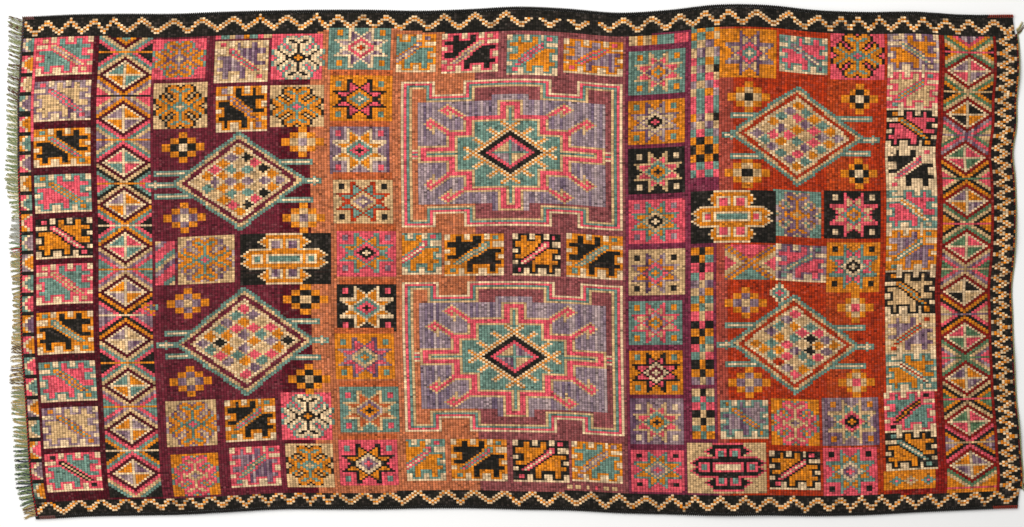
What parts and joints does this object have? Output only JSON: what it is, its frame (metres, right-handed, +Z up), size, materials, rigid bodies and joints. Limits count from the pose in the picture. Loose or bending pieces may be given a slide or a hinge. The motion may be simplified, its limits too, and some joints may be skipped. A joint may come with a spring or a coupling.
{
  "type": "moroccan rug",
  "caption": "Long knotted wool rug lying flat, with a twined cord and fringe at one end, overcast long edges and a plaited band at the other end.",
  "frame": {"origin": "on the floor under the middle of the rug's overall box, fringe and plait included", "axes": "+X along the length, from the fringe end to the plaited end; +Y across the width; +Z up out of the pile"},
  "size_m": [3.1196, 1.5756, 0.015],
  "materials": {
    "knotted_wool": "matte knotted wool pile",
    "overcast_wool": "matte overcast wool",
    "fringe_yarn": "matte plied wool yarn",
    "plaited_wool": "matte plaited wool"
  },
  "bodies": {
    "root": {"rug_body": "knotted_wool", "selvedge_far": "overcast_wool", "selvedge_near": "overcast_wool", "fringe_left": "fringe_yarn", "end_plait_right": "plaited_wool"}
  },
  "joints": []
}
